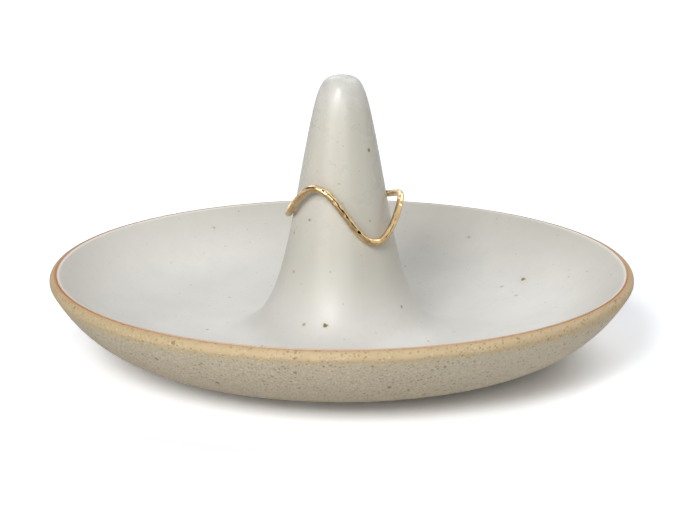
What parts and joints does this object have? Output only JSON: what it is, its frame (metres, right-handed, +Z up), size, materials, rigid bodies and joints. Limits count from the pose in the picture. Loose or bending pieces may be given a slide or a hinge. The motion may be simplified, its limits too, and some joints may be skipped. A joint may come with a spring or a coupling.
{
  "type": "ring cone",
  "caption": "Shallow round stoneware dish with a tall rounded cone in its middle, glazed inside and bare outside, holding a gold wave ring that lifts off.",
  "frame": {"origin": "centre of the foot ring, on the surface that the dish stands on", "axes": "+Z up along the cone's axis; the picture's camera stands on the -Y side, with +X to its right"},
  "size_m": [0.105, 0.105, 0.0515],
  "materials": {
    "stoneware": "matte",
    "glaze": "satin",
    "gold": "polished"
  },
  "bodies": {
    "dish": {"stoneware_body": "stoneware", "glaze_coat": "glaze"},
    "ring": {"wave_ring": "gold"}
  },
  "joints": [
    {"name": "ring_lift", "type": "slide", "parent": "dish", "child": "ring", "axis": [0, 0, 1], "range_m": [0, 0.032]}
  ]
}
